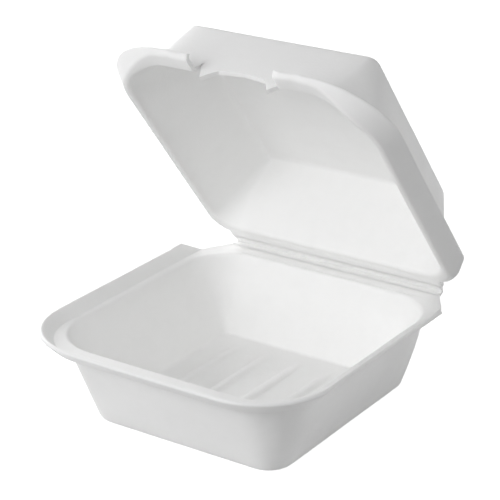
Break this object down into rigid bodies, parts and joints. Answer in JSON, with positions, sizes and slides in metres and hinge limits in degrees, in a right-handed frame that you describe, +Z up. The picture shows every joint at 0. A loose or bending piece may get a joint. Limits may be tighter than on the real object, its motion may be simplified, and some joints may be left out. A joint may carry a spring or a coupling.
{
  "type": "hinged food container",
  "caption": "White foam clamshell food box: a square tray with flared walls and a domed lid on one crushed hinge, with nesting rims and a notched front edge.",
  "frame": {"origin": "centre of the tray's underside, on the table", "axes": "+Z up; +Y from the front edge to the hinge; +X to the right seen from the front"},
  "size_m": [0.1474, 0.1726, 0.1656],
  "materials": {
    "foam": "white expanded polystyrene sheet with a smooth pressed skin"
  },
  "bodies": {
    "tray": {"tray": "foam"},
    "lid": {"lid": "foam"}
  },
  "joints": [
    {"name": "lid_hinge", "type": "hinge", "parent": "tray", "child": "lid", "pos_m": [0, 0.0761, 0.04115], "axis": [-1, 0, 0], "range_deg": [-51, 127]}
  ]
}
